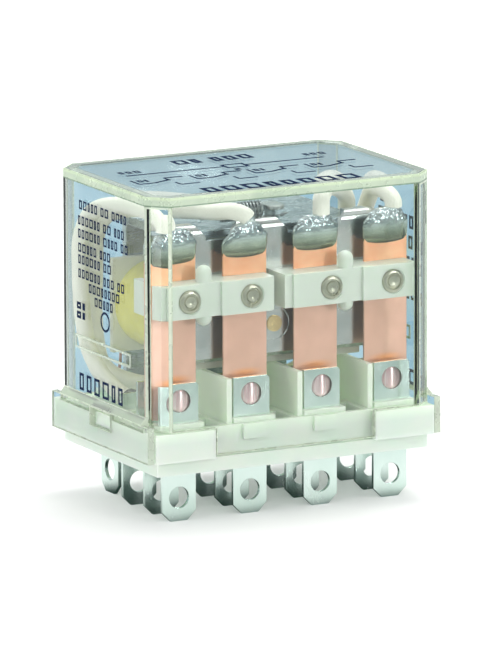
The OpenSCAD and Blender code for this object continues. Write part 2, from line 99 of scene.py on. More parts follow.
# The pigtails' routes, as in the CAD model, in mm
REAR_RIGHT = [(14, 9.8, 15.6), (10.5, 6.4, 14), (5.6, 3.8, 13.7), (5, 1.5, 13.6)]
ROUTES = {
    1: [(-15.9, -8.8, 37), (-15.9, -8.8, 37.6), (-16.1, -8.4, 38.3), (-16.7, -6.6, 39.1), (-17, 0, 38.7),
        (-17.2, 7, 36.8), (-17.3, 10.2, 33), (-17.3, 10.6, 28), (-17.3, 9.4, 21), (-16.9, 6.8, 16.8),
        (-15.4, 4, 14), (-15, 1.5, 13.6)],
    2: [(-4.5, -8.8, 37.4), (-5, -8.6, 37.9), (-6.2, -7.4, 38.2), (-7.4, -5, 37.8), (-9.6, -1.2, 37.6),
        (-12.4, 3.6, 37.3), (-14.6, 8, 36), (-14.9, 10.6, 33), (-14.9, 11.3, 28), (-14.9, 11.2, 20),
        (-14, 9.8, 15.6), (-10.5, 6.4, 14), (-5.6, 3.8, 13.7), (-5, 1.5, 13.6)],
    3: [(5.9, -8.8, 37), (5.9, -8.8, 38), (6.2, -8.4, 38.9), (8, -6, 39.4), (11, -3, 39), (13.8, -0.6, 37.2),
        (14.8, 1.2, 34.5), (14.9, 4.4, 30), (14.9, 9, 24), (14.9, 10.8, 19)] + REAR_RIGHT,
    4: [(16.2, -8.8, 37.1), (16.2, -8.8, 37.6), (16.1, -8.2, 38.3), (16, -6.4, 38.8), (16.4, -3.4, 38.5),
        (17.2, -0.4, 36.6), (17.4, 2, 33), (17.4, 5.4, 28), (17.4, 8.4, 21), (16.9, 6.8, 16.8),
        (15.4, 4, 14), (15, 1.5, 13.6)],
}


# ---------------------------------------------------------------- camera and lamps

def add_camera():
    """A long lens a little above the relay and to the left of its front."""
    azimuth, elevation, roll = math.radians(-27.55), math.radians(11.53), math.radians(-0.19)
    distance, target = 1.1506, Vector((0.00086, 0.00045, 0.02041))
    back = Vector((math.sin(azimuth) * math.cos(elevation), -math.cos(azimuth) * math.cos(elevation),
                   math.sin(elevation)))
    data = bpy.data.cameras.new("camera")
    data.lens = 490.7
    data.sensor_width = 36.0
    data.clip_start, data.clip_end = 0.05, 20.0
    data.dof.use_dof = False
    camera = bpy.data.objects.new("camera", data)
    camera.location = target + back * distance
    camera.rotation_mode = "QUATERNION"
    camera.rotation_quaternion = back.to_track_quat("Z", "Y") @ Matrix.Rotation(roll, 4, "Z").to_quaternion()
    bpy.context.collection.objects.link(camera)
    bpy.context.scene.camera = camera


def add_area(name, place, aim, size, watts):
    """A rectangular lamp at place, turned towards aim."""
    data = bpy.data.lights.new(name, "AREA")
    data.shape = "RECTANGLE"
    data.size, data.size_y = size
    data.energy = watts
    lamp = bpy.data.objects.new(name, data)
    lamp.location = place
    lamp.rotation_mode = "QUATERNION"
    lamp.rotation_quaternion = (Vector(place) - Vector(aim)).to_track_quat("Z", "Y")
    bpy.context.collection.objects.link(lamp)


# ---------------------------------------------------------------- materials

class Nodes:
    """Short ways to add nodes to a tree."""

    def __init__(self, tree):
        self.tree = tree
        self.place = self.node("TexCoord").outputs["Object"]

    def node(self, kind, sockets=None, **settings):
        made = self.tree.nodes.new("ShaderNode" + kind)
        for key, value in settings.items():
            setattr(made, key, value)
        for socket, source in (sockets or {}).items():
            self.feed(made.inputs[socket], source)
        return made

    def feed(self, socket, source):
        if isinstance(source, bpy.types.NodeSocket):
            self.tree.links.new(source, socket)
        elif isinstance(source, tuple) and socket.type == "RGBA" and len(source) == 3:
            socket.default_value = (*source, 1)
        else:
            socket.default_value = source

    def noise(self, scale, detail=2.0, stretch=None):
        coords = self.place
        if stretch:
            coords = self.node("Mapping", {"Vector": coords, "Scale": stretch}).outputs[0]
        return self.node("TexNoise", {"Vector": coords, "Scale": scale, "Detail": detail}).outputs["Fac"]

    def axis(self, index):
        return self.node("SeparateXYZ", {0: self.place}).outputs[index]

    def span(self, value, low, high, to_low=0.0, to_high=1.0):
        return self.node("MapRange", {"Value": value, "From Min": low, "From Max": high,
                                      "To Min": to_low, "To Max": to_high}).outputs["Result"]

    def ramp(self, factor, stops):
        made = self.node("ValToRGB", {0: factor})
        band = made.color_ramp
        while len(band.elements) < len(stops):
            band.elements.new(0.5)
        for element, (place, colour) in zip(band.elements, stops):
            element.position = place
            element.color = (*colour, 1)
        return made.outputs["Color"]

    def blotches(self, source, light, shade, edge=0.3):
        """Runs from shade to light across the middle of a noise, whose values seldom leave 0.3 to 0.7."""
        return self.ramp(source, [(edge, shade), (1 - edge, light)])

    def mix(self, factor, first, second, how="MIX"):
        """Colour mix: its sockets 6 and 7 hold the two colours, and its output 2 the result."""
        sockets = {0: factor, 6: first, 7: second}
        return self.node("Mix", sockets, data_type="RGBA", blend_type=how).outputs[2]

    def product(self, first, second):
        return self.mix(1.0, first, second, "MULTIPLY")

    def maths(self, how, first, second=0.0):
        return self.node("Math", {0: first, 1: second}, operation=how).outputs[0]

    def seen_through_glass(self):
        """1 where the eye looks straight through clear plastic at this, and 0 elsewhere."""
        path = self.node("LightPath").outputs
        bounces = self.maths("ADD", path["Glossy Depth"], path["Diffuse Depth"])
        return self.maths("MULTIPLY", path["Is Transmission Ray"], self.maths("LESS_THAN", bounces, 0.5))

    def seen_in_gloss(self):
        """1 where this is met in a mirror-like reflection, through clear plastic or not, and 0 elsewhere."""
        path = self.node("LightPath").outputs
        mirrored = self.maths("GREATER_THAN", path["Glossy Depth"], 0.5)
        matt = self.maths("GREATER_THAN", path["Diffuse Depth"], 0.5)
        return self.maths("MULTIPLY", mirrored, self.maths("SUBTRACT", 1.0, matt))


class Surface(Nodes):
    """A material and its Principled shader."""

    def __init__(self, name, **constants):
        self.material = bpy.data.materials.new(name)
        self.material.use_nodes = True
        super().__init__(self.material.node_tree)
        self.shader = self.tree.nodes["Principled BSDF"]
        for socket, value in constants.items():
            self.shader.inputs[socket.replace("_", " ")].default_value = value

    def drive(self, socket, source):
        self.tree.links.new(source, self.shader.inputs[socket])

    def colour(self, source):
        self.drive("Base Color", source)

    def rough(self, source, low, high):
        self.drive("Roughness", self.span(source, 0.3, 0.7, low, high))

    def bump(self, height, depth_mm):
        made = self.node("Bump", {"Height": height, "Strength": 1.0, "Distance": depth_mm * MM})
        self.drive("Normal", made.outputs[0])


def moulded(name, light, shade, rough, painted_light_above=None, **constants):
    """Moulded plastic: soft cloudy colour, a fine eroded texture and slightly uneven gloss.

    Walls above the given height are painted lighter and greener and given a faint painted glow, standing in
    for light coming through these thin walls.
    """
    made = Surface(name, **constants)
    cloud = made.blotches(made.noise(160, 3), light, shade)
    if painted_light_above is not None:
        # Painted light: above this height the colour is made lighter and greener and the walls glow faintly,
        # though they are no lamp
        fade, glow = 2.2 * MM, 0.09
        thin = made.span(made.axis(2), painted_light_above - fade, painted_light_above)
        cloud = made.mix(thin, cloud, (0.74, 0.86, 0.71))
        made.shader.inputs["Emission Color"].default_value = (0.62, 0.80, 0.56, 1)
        made.drive("Emission Strength", made.maths("MULTIPLY", thin, glow))
    made.colour(cloud)
    made.rough(made.noise(900, 2), rough - 0.07, rough + 0.07)
    made.bump(made.noise(2600, 3), 0.012)
    return made.material


def sheet_metal(name, light, shade, rough, grain=(1, 1, 0.12), depth=0.0008):
    """Rolled and plated sheet: cloudy plating, long fine rolling grain and a few rubbed patches."""
    made = Surface(name, Metallic=1.0)
    cloud = made.noise(260, 4)
    made.colour(made.blotches(cloud, light, shade, 0.35))
    lines = made.noise(5200, 3, stretch=grain)
    worn = made.maths("ADD", made.maths("MULTIPLY", lines, 0.4), made.maths("MULTIPLY", cloud, 0.6))
    made.rough(worn, rough - 0.05, rough + 0.08)
    made.bump(lines, depth)
    return made.material


def copper_strip():
    """Beryllium copper with a matt rolled grain.

    It is heat-tinted orange towards the soldered end, and a painted orange highlight sits in a small spot
    over each pole's front tab.
    """
    made = Surface("rolled_copper", Metallic=0.75)
    low, high = (corner[2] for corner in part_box("contact_strip_1"))
    base = made.blotches(made.noise(320, 4), (0.91, 0.555, 0.435), (0.81, 0.485, 0.365))
    heat = made.span(made.axis(2), low + 0.60 * (high - low), low + 0.72 * (high - low))
    tint = made.blotches(made.noise(500, 3), (1.0, 0.57, 0.35), (0.97, 0.46, 0.26))
    # Painted highlight: an oval orange spot just above each pole's front tab
    half_pitch = (POLE_X[1] - POLE_X[0]) / 2
    highlight_half, highlight_high, highlight_lift = 2.8 * MM, 0.75 * MM, 0.2 * MM
    beside = made.maths("SUBTRACT", half_pitch, made.maths("PINGPONG", made.axis(0), half_pitch))
    above = made.maths("SUBTRACT", made.axis(2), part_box("nc_terminal_1")[1][2] + highlight_lift)
    spot = made.node("CombineXYZ", {0: made.maths("DIVIDE", beside, highlight_half),
                                    2: made.maths("DIVIDE", above, highlight_high)}).outputs[0]
    reach = made.node("VectorMath", {0: spot}, operation="LENGTH").outputs["Value"]
    made.colour(made.mix(made.span(reach, 1.0, 0.2), made.mix(heat, base, tint), (0.96, 0.44, 0.21)))
    lines = made.noise(7000, 2, stretch=(1, 1, 0.3))
    made.rough(lines, 0.30, 0.42)
    made.bump(lines, 0.0012)
    return made.material


def solder():
    """Solder: bright and grainy at the top, smooth, darker and greener below, down to a thin dark line."""
    made = Surface("solder", Metallic=1.0)
    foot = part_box("strip_solder_1")[0][2]
    shine = made.blotches(made.noise(500, 3), (1.0, 1.0, 1.0), (0.78, 0.80, 0.80))
    tone = made.ramp(made.span(made.axis(2), foot, foot + 4.2 * MM),
                     [(0.12, (0.36, 0.38, 0.27)), (0.35, (0.45, 0.51, 0.42)),
                      (0.62, (0.62, 0.71, 0.71)), (0.9, (0.88, 0.95, 0.98))])
    line = made.span(made.axis(2), foot - 0.1 * MM, foot + 0.45 * MM)
    made.colour(made.mix(line, (0.12, 0.12, 0.09), made.product(shine, tone)))
    lumpy = made.span(made.axis(2), foot + 1.8 * MM, foot + 3.4 * MM, 0.04, 1.0)
    grains = made.node("TexVoronoi", {"Vector": made.place, "Scale": 2300}).outputs["Distance"]
    made.rough(made.noise(900, 3), 0.06, 0.24)
    made.bump(made.maths("MULTIPLY", grains, lumpy), 0.09)
    return made.material


def lamps_pass(made, tint):
    """Lets the lamps' light straight through a clear material."""
    through = made.node("BsdfTransparent", {"Color": (*tint, 1)})
    path = made.node("LightPath")
    both = made.node("MixShader", {0: path.outputs["Is Shadow Ray"], 1: made.shader.outputs[0],
                                   2: through.outputs[0]})
    made.tree.links.new(both.outputs[0], made.tree.nodes["Material Output"].inputs["Surface"])


def clear_plastic(name, light, shade):
    """Clear polycarbonate: refracts, with a yellow-green tint in its depth."""
    made = Surface(name, Transmission_Weight=1.0, IOR=1.58, Metallic=0.0)
    made.colour(made.blotches(made.noise(60, 2), light, shade))
    made.rough(made.noise(700, 4), 0.0, 0.02)
    lamps_pass(made, (0.995, 0.995, 0.995))
    depth = made.node("VolumeAbsorption", {"Color": (0.86, 0.95, 0.70, 1), "Density": 45.0})
    made.tree.links.new(depth.outputs[0], made.tree.nodes["Material Output"].inputs["Volume"])
    return made.material


def clear_edge():
    """The cover's rounded edges, slightly frosted, which gather pale yellow-green light.

    A darker line runs round them at the underside of the solid top. Their upper edge band has a painted
    highlight, a little brighter.
    """
    made = Surface("clear_edge", Transmission_Weight=0.3, IOR=1.58, Metallic=0.0)
    pale = made.blotches(made.noise(260, 3), (0.71, 0.78, 0.64), (0.61, 0.70, 0.57), 0.35)
    line = made.span(made.axis(2), COVER_HIGH - 1.25 * MM, COVER_HIGH - 0.95 * MM)
    deep = made.ramp(line, [(0.0, (1, 1, 1)), (0.12, (0.30, 0.40, 0.33)), (0.6, (0.34, 0.44, 0.37)),
                            (0.8, (0.90, 0.96, 0.90))])
    # Painted highlight: the top 0.2 to 0.45 mm of the edges is made a little brighter
    upper = made.span(made.axis(2), COVER_HIGH - 0.45 * MM, COVER_HIGH - 0.2 * MM)
    rim = made.ramp(upper, [(0.0, (1, 1, 1)), (1.0, (1.2, 1.2, 1.1))])
    made.colour(made.product(made.product(pale, deep), rim))
    made.rough(made.noise(500, 3), 0.15, 0.45)
    lamps_pass(made, (0.95, 0.97, 0.93))
    return made.material


def clear_border(name, light, shade):
    """Hazier clear plastic, for the cover's borders, slopes and low frames, and for its thin dark lines."""
    made = Surface(name, Transmission_Weight=0.6, IOR=1.58, Metallic=0.0)
    made.colour(made.blotches(made.noise(200, 3), light, shade))
    made.rough(made.noise(500, 3), 0.15, 0.3)
    lamps_pass(made, (0.95, 0.97, 0.93))
    return made.material


def woven_sleeve():
    """Braided glass-fibre sleeving: a fine cross weave in cream."""
    made = Surface("glass_fibre_sleeve", Sheen_Weight=0.2)
    threads, stitch = 14, 0.55 * MM
    weave = made.node("SeparateXYZ", {0: made.node("UVMap", uv_map="weave").outputs[0]})
    around = made.maths("MULTIPLY", weave.outputs[0], 2 * math.pi * threads)
    along = made.maths("MULTIPLY", weave.outputs[1], 2 * math.pi / stitch)
    left = made.maths("SINE", made.maths("ADD", around, along))
    right = made.maths("SINE", made.maths("SUBTRACT", around, along))
    braid = made.maths("MAXIMUM", left, right)
    fibre = made.noise(3500, 2, stretch=(1, 1, 0.3))
    made.colour(made.mix(made.span(braid, -0.6, 1), (0.93, 0.93, 0.83), (0.98, 0.98, 0.90)))
    made.rough(fibre, 0.5, 0.7)
    made.bump(made.maths("ADD", braid, fibre), 0.008)
    return made.material


def coil_paper():
    """Yellow coil tape with fine creases along the coil."""
    made = Surface("coil_tape", Coat_Weight=0.25, Coat_Roughness=0.25)
    made.colour(made.blotches(made.noise(180, 4), (0.86, 0.82, 0.16), (0.66, 0.62, 0.06)))
    made.rough(made.noise(800), 0.3, 0.5)
    made.bump(made.noise(600, 4, stretch=(1, 0.2, 1)), 0.05)
    return made.material


def brushed_end(name, light, shade, rough, **constants):
    """A rivet's brushed end, with upright streaks and a highlight drawn out up and down."""
    made = Surface(name, Metallic=1.0, **constants)
    made.drive("Tangent", made.node("Tangent", direction_type="RADIAL", axis="X").outputs[0])
    streaks = made.noise(5000, 3, stretch=(1, 1, 0.05))
    made.colour(made.blotches(streaks, light, shade, 0.35))
    made.rough(made.noise(1500), rough - 0.03, rough + 0.05)
    made.bump(streaks, 0.002)
    return made.material


def enamelled():
    """Enamelled copper wire, with the turns of the winding as fine ridges."""
    made = Surface("enamelled_copper", Coat_Weight=0.6, Coat_Roughness=0.12, Metallic=0.6)
    made.colour(made.blotches(made.noise(900, 2), (0.55, 0.15, 0.05), (0.32, 0.07, 0.02)))
    made.rough(made.noise(900), 0.25, 0.4)
    made.bump(made.noise(6000, 1, stretch=(0.05, 1, 0.05)), 0.04)
    return made.material


def ink():
    """Dark blue-black printing ink."""
    made = Surface("print_ink", Specular_IOR_Level=0.0)
    made.colour(made.blotches(made.noise(900, 3), (0.03, 0.045, 0.09), (0.012, 0.02, 0.05)))
    made.rough(made.noise(900), 0.35, 0.6)
    made.bump(made.noise(3000), 0.004)
    return made.material


# ---------------------------------------------------------------- floor and light

def add_world(strength):
    """A white room for matt surfaces, darker in parts for gloss, and blue-grey straight through glass."""
    world = bpy.data.worlds.new("studio")
    bpy.context.scene.world = world
    world.use_nodes = True
    room = Nodes(world.node_tree)
    way = room.node("TexCoord").outputs["Generated"]

    def towards(direction, stops):
        facing = room.node("VectorMath", {0: way, 1: direction}, operation="DOT_PRODUCT")
        return room.ramp(facing.outputs["Value"], stops)

    upper = towards((0, 0, 1), [(0.0, (0.46, 0.60, 0.63)), (0.25, (0.60, 0.72, 0.74)),
                                (0.6, (1.0, 1.03, 1.03))])
    camera_side = towards((-0.42, -0.80, 0.42), [(0.60, (1, 1, 1)), (0.92, (0.16, 0.18, 0.20))])
    right_side = towards((0.98, 0, 0.2), [(0.60, (1, 1, 1)), (0.82, (0.20, 0.22, 0.25))])
    gloss = room.product(room.product(upper, camera_side), right_side)
    open_air = room.mix(room.seen_in_gloss(), (0.99, 0.995, 1.0), gloss)
    everywhere = room.mix(room.seen_through_glass(), open_air, (0.35, 0.50, 0.58))
    sky = world.node_tree.nodes["Background"]
    world.node_tree.links.new(everywhere, sky.inputs["Color"])
    sky.inputs["Strength"].default_value = strength


def add_studio():
    """The room's own light, three wide lamps and a narrow one, with plain display colours."""
    add_world(0.80)
    aim = (0, 0, 0.02)
    add_area("top", (0.13, 0.10, 0.52), aim, (0.26, 0.26), 1.25)
    add_area("front", (-0.25, -0.75, 0.40), aim, (0.40, 0.30), 0.62)
    add_area("left", (-0.80, -0.15, 0.35), aim, (0.50, 0.40), 1.5)
    add_area("strip", (0.30, -0.575, 0.18), aim, (0.03, 0.34), 0.5)
    bpy.context.scene.view_settings.view_transform = "Standard"


def add_floor():
    """A wide white floor whose brightness stays even away from the lamps.

    Its reflection in gloss has painted shade: a painted shadow under the relay, and painted darkening far
    from it and in front of it. It is blue where it is seen straight through glass, and white otherwise.
    """
    mesh = bpy.data.meshes.new("floor")
    reach = 3.0
    mesh.from_pydata([(-reach, -reach, 0), (reach, -reach, 0), (reach, reach, 0), (-reach, reach, 0)], [],
                     [(0, 1, 2, 3)])
    floor = bpy.data.objects.new("floor", mesh)
    bpy.context.collection.objects.link(floor)
    paper = Surface("floor_paper", Specular_IOR_Level=0.1, Emission_Color=(1, 1, 1, 1))
    white = paper.ramp(paper.noise(30), [(0, (0.93, 0.93, 0.93)), (1, (0.95, 0.95, 0.95))])
    far = paper.node("VectorMath", {0: paper.place}, operation="LENGTH").outputs["Value"]
    # Painted shadow and shade in the floor's reflection: dark under the relay's footprint, and darker far
    # away and in front
    half_base = (21 * MM, 12 * MM)
    sides = [paper.maths("DIVIDE", paper.maths("ABSOLUTE", paper.axis(index)), half)
             for index, half in enumerate(half_base)]
    footprint = paper.span(paper.maths("MAXIMUM", *sides), 0.75, 1.25)
    under = paper.ramp(footprint, [(0.0, (0.05, 0.08, 0.07)), (1.0, (0.92, 0.95, 0.93))])
    away = paper.ramp(paper.span(far, 40 * MM, 90 * MM), [(0.0, (1, 1, 1)), (1.0, (0.68, 0.72, 0.72))])
    front = paper.ramp(paper.span(paper.axis(1), -85 * MM, -45 * MM),
                       [(0.0, (0.52, 0.55, 0.56)), (1.0, (1, 1, 1))])
    mirrored = paper.product(paper.product(under, away), front)
    open_air = paper.mix(paper.seen_in_gloss(), white, mirrored)
    paper.colour(paper.mix(paper.seen_through_glass(), open_air, (0.27, 0.46, 0.60)))
    indirect = paper.maths("MAXIMUM", paper.seen_through_glass(), paper.seen_in_gloss())
    glow = paper.span(far, 50 * MM, 160 * MM, 0.06, 0.40)
    paper.drive("Emission Strength", paper.maths("MULTIPLY", glow, paper.maths("SUBTRACT", 1.0, indirect)))
    paper.rough(paper.noise(200), 0.85, 0.95)
    mesh.materials.append(paper.material)


# ---------------------------------------------------------------- building

def finish(obj, node_or_body, look, replaced=()):
    """Gives a piece its material and its body, and hides the CAD nodes that it stands for."""
    bpy.context.collection.objects.link(obj)
    while obj.data.materials:
        obj.data.materials.pop()
    obj.data.materials.append(look)
    body = BODY.get(node_or_body, node_or_body)
    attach(obj, body)
    if replaced:
        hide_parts(*replaced)


def solid_of(node):
    """An editable copy of a CAD solid, with its triangles joined into flat faces."""
    bm = bmesh.new()
    bm.from_mesh(frame["nodes"][node].data)
    bmesh.ops.remove_doubles(bm, verts=bm.verts, dist=SAME_POINT)
    bmesh.ops.dissolve_limit(bm, angle_limit=FLAT_TURN, verts=bm.verts, edges=bm.edges)
    return bm


def add_bevel(obj, width_mm):
    bevel = obj.modifiers.new("edges", "BEVEL")
    bevel.width = width_mm * MM
    bevel.segments = 2
    bevel.limit_method = "ANGLE"
    bevel.angle_limit = SHARP_TURN
    return bevel


def rounded_copy(node, look, width_mm):
    """The node's own solid with its flat faces joined up and its edges rounded."""
    mesh = frame["nodes"][node].data.copy()
    bm = solid_of(node)
    bm.to_mesh(mesh)
    bm.free()
    if "custom_normal" in mesh.attributes:
        mesh.attributes.remove(mesh.attributes["custom_normal"])
    mesh.shade_flat()
    mesh.shade_smooth()
    obj = bpy.data.objects.new(node + "_part", mesh)
    add_bevel(obj, width_mm).harden_normals = True
    weigh = obj.modifiers.new("normals", "WEIGHTED_NORMAL")
    weigh.keep_sharp = True
    weigh.weight = 100
    finish(obj, node, look, [node])


# The cover's finishes, in the order of its material slots
CLEAR, EDGE, BORDER, LINE = range(4)


def in_side_frame(point):
    """Whether a point of the cover lies on the low frame of one of its side walls."""
    return abs(point.x) > WALL_X - 0.3 * MM and FRAME_LOW < point.z < FRAME_HIGH


def on_top(face):
    return face.normal.z > 0.9 and face.calc_center_median().z > COVER_HIGH - 0.01 * MM


def cut_cover(bm):
    """Cuts the cover level with its top's underside, and rings into its top face and its corner faces.

    Gives back the middle of the top, the frosted faces and the thin dark lines.
    """
    under_top = COVER_HIGH - TOP_THICKNESS
    bmesh.ops.bisect_plane(bm, geom=bm.verts[:] + bm.edges[:] + bm.faces[:], dist=1e-7,
                           plane_co=(0, 0, under_top), plane_no=(0, 0, 1))
    top = [face for face in bm.faces if on_top(face)]
    rings = [bmesh.ops.inset_region(bm, faces=top, thickness=wide * MM, use_even_offset=True)["faces"]
             for wide in (0.3, 0.12, 1.1, 0.12)]
    corners = [face for face in bm.faces if min(abs(face.normal.x), abs(face.normal.y)) > 0.3
               and face.calc_center_median().dot(face.normal) > 0
               and face.calc_center_median().z < under_top]
    cuts = bmesh.ops.inset_individual(bm, faces=corners, thickness=0.4 * MM)["faces"]
    return top, rings[0] + cuts, rings[1] + rings[3]


def cover_finish(face, top, frosted, lines):
    """Which finish a face of the cover has."""
    if face in lines:
        return LINE
    if face in frosted:
        return EDGE
    if on_top(face):
        return CLEAR if face in top else BORDER
    middle = face.calc_center_median()
    in_frame = in_side_frame(middle)
    thin = face.calc_area() / (face.calc_perimeter() / 2) < (0.5 if in_frame else 1.2) * MM
    level_with_top = abs(face.normal.z) < 0.5 and middle.z > COVER_HIGH - TOP_THICKNESS
    on_band = abs(middle.x) > WALL_X + 0.02 * MM and middle.z < BANDS_HIGH and abs(face.normal.x) < 0.99
    if not (thin or level_with_top or on_band):
        return CLEAR
    return BORDER if in_frame or (on_band and face.normal.z > 0.1) else EDGE


def add_cover():
    """The CAD cover in four finishes: clear walls, frosted edges, hazy borders and thin dark lines.

    The frosted finish is on the cut edges, the rims of the corners, the ends of the side bands and the belt
    of the walls that is level with the solid top. The low frames on the side walls keep sharp edges.
    """
    bm = solid_of("cover")
    top, frosted, lines = cut_cover(bm)
    bm.normal_update()
    for face in bm.faces:
        face.material_index = cover_finish(face, top, frosted, lines)
    rounded = bm.edges.layers.float.new("bevel_weight_edge")
    for edge in bm.edges:
        middle = (edge.verts[0].co + edge.verts[1].co) / 2
        sharp = edge.is_manifold and edge.calc_face_angle() > SHARP_TURN
        edge[rounded] = 1.0 if sharp and not in_side_frame(middle) else 0.0
    mesh = bpy.data.meshes.new("cover_moulding")
    bm.to_mesh(mesh)
    bm.free()
    obj = bpy.data.objects.new("cover_moulding", mesh)
    bevel = add_bevel(obj, 0.12)
    bevel.limit_method = "WEIGHT"
    bevel.material = EDGE
    finish(obj, "cover", clear, ["cover"])
    for look in (clear_edge(), clear_border("clear_border", (0.80, 0.88, 0.76), (0.72, 0.81, 0.68)),
                 clear_border("clear_line", (0.40, 0.50, 0.42), (0.30, 0.40, 0.34))):
        obj.data.materials.append(look)


def mesh_object(name, points, faces, sharp_degrees=None, smooth=True):
    """An object made of these points and faces. Its edges over sharp_degrees are shaded sharp."""
    mesh = bpy.data.meshes.new(name)
    mesh.from_pydata([tuple(p) for p in points], [], faces)
    mesh.validate()
    if smooth:
        mesh.shade_smooth()
    if sharp_degrees:
        mesh.set_sharp_from_angle(angle=math.radians(sharp_degrees))
    return bpy.data.objects.new(name, mesh)


def lathe(name, profile, centres, sides):
    """Turned pieces along Y. The profile is (radius, y) pairs from the front middle to the back middle."""
    points, faces = [], []
    rings = len(profile) - 2
    for cx, cz in centres:
        start = len(points)
        points.append((cx, profile[0][1], cz))
        for radius, y in profile[1:-1]:
            for k in range(sides):
                turn = 2 * math.pi * k / sides
                points.append((cx + radius * math.cos(turn), y, cz + radius * math.sin(turn)))
        points.append((cx, profile[-1][1], cz))
        last = start + 1 + (rings - 1) * sides
        for k in range(sides):
            nxt = (k + 1) % sides
            faces.append((start, start + 1 + k, start + 1 + nxt))
            for a in range(start + 1, last, sides):
                b = a + sides
                faces.append((a + k, b + k, b + nxt, a + nxt))
            faces.append((last + k, last + sides, last + nxt))
    return mesh_object(name, points, faces, 50)


def smooth_route(points, steps):
    """The same curve as the CAD route: a smooth line through the points."""
    out = []
    for i in range(len(points) - 1):
        a, b, c, d = (Vector(points[max(i - 1, 0)]), Vector(points[i]), Vector(points[i + 1]),
                      Vector(points[min(i + 2, len(points) - 1)]))
        for k in range(steps):
            t = k / steps
            out.append(0.5 * (2 * b + (c - a) * t + (2 * a - 5 * b + 4 * c - d) * t * t
                              + (3 * b - a - 3 * c + d) * t * t * t))
    out.append(Vector(points[-1]))
    return out


def stitched(rows, sides):
    """Faces between the rings of a closed tube, row by row, and then the tube's two ends."""
    faces = []
    for j in range(rows - 1):
        for k in range(sides):
            nxt = (k + 1) % sides
            faces.append((j * sides + k, j * sides + nxt, (j + 1) * sides + nxt, (j + 1) * sides + k))
    faces.append(tuple(range(sides - 1, -1, -1)))
    faces.append(tuple((rows - 1) * sides + k for k in range(sides)))
    return faces


def tube_rings(route, radius, hollow):
    """Centre, direction, side direction, travelled length and radius of each ring of a tube."""
    rings = []
    across = Vector((1, 0, 0.1))
    travelled = 0.0
    for i, p in enumerate(route):
        ahead = (route[min(i + 1, len(route) - 1)] - route[max(i - 1, 0)]).normalized()
        across = (across - across.dot(ahead) * ahead).normalized()
        if i:
            travelled += (p - route[i - 1]).length
        rings.append((p, ahead, across.copy(), travelled, radius))
    if hollow:
        inner, lip = 0.74 * radius, 0.1 * MM
        p, ahead, side, _, _ = rings[0]
        first = [(p + hollow * ahead, ahead, side, -hollow, inner), (p, ahead, side, -lip, inner)]
        p, ahead, side, far, _ = rings[-1]
        last = [(p, ahead, side, far + lip, inner), (p - hollow * ahead, ahead, side, far + hollow, inner)]
        rings = first + rings + last
    return rings


def tube(name, route, radius, sides, wobble=0.0, hollow=0.0):
    """A closed tube along a route, with a UV map called weave: u round the tube, v along it in metres.

    With hollow set, each end is open for that depth and shows the wall of the sleeve. With wobble set, the
    radius varies by up to about that share.
    """
    rings = tube_rings(route, radius, hollow)
    points = []
    for p, ahead, side, far, r in rings:
        up = ahead.cross(side)
        for k in range(sides):
            turn = 2 * math.pi * k / sides
            spot = Vector((far / (2.5 * MM), 1.3 * math.cos(turn), 1.3 * math.sin(turn) + 7 * p.x / MM))
            out = math.cos(turn) * side + math.sin(turn) * up
            points.append(p + r * (1 + wobble * noise.noise(spot)) * out)
    uvs = []
    for near_ring, far_ring in zip(rings, rings[1:]):
        near, far = near_ring[3], far_ring[3]
        for k in range(sides):
            u, v = k / sides, (k + 1) / sides
            uvs.append([(u, near), (v, near), (v, far), (u, far)])
    uvs += [[(0, 0)] * sides] * 2
    obj = mesh_object(name, points, stitched(len(rings), sides), 60)
    layer = obj.data.uv_layers.new(name="weave")
    for face, corners in zip(obj.data.polygons, uvs):
        for loop, uv in zip(face.loop_indices, corners):
            layer.data[loop].uv = uv
    return obj


def islands(node):
    """The boxes of the separate solids in a CAD node, as (low, high) pairs from left to right."""
    bm = bmesh.new()
    bm.from_mesh(frame["nodes"][node].data)
    bmesh.ops.remove_doubles(bm, verts=bm.verts, dist=SAME_POINT)
    seen, found = set(), []
    for seed in bm.verts:
        if seed in seen:
            continue
        heap, group = [seed], []
        seen.add(seed)
        while heap:
            vert = heap.pop()
            group.append(vert.co.copy())
            for edge in vert.link_edges:
                other = edge.other_vert(vert)
                if other not in seen:
                    seen.add(other)
                    heap.append(other)
        found.append((Vector([min(p[a] for p in group) for a in range(3)]),
                      Vector([max(p[a] for p in group) for a in range(3)])))
    bm.free()
    return sorted(found, key=lambda pair: pair[0].x)


# ---------------------------------------------------------------- wires, solder, rivets, spring and tape

def add_pigtail(i):
    """A sleeved wire along its route."""
    route = [p * MM for p in smooth_route(ROUTES[i], 8)]
    sleeve = tube(f"pigtail_sleeve_{i}", route, 1.08 * MM, 20, wobble=0.05, hollow=0.5 * MM)
    bpy.context.collection.objects.link(sleeve)
    sleeve.data.materials.append(sleeve_look)
    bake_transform(sleeve)
    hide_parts(f"pigtail_{i}")


def between(value, stops):
    """A smooth value between (place, result) stops."""
    for (a, low), (b, high) in zip(stops, stops[1:]):
        if value <= b:
            t = max(0.0, (value - a) / (b - a))
            t = t * t * (3 - 2 * t)
            return low + (high - low) * t
    return stops[-1][1]


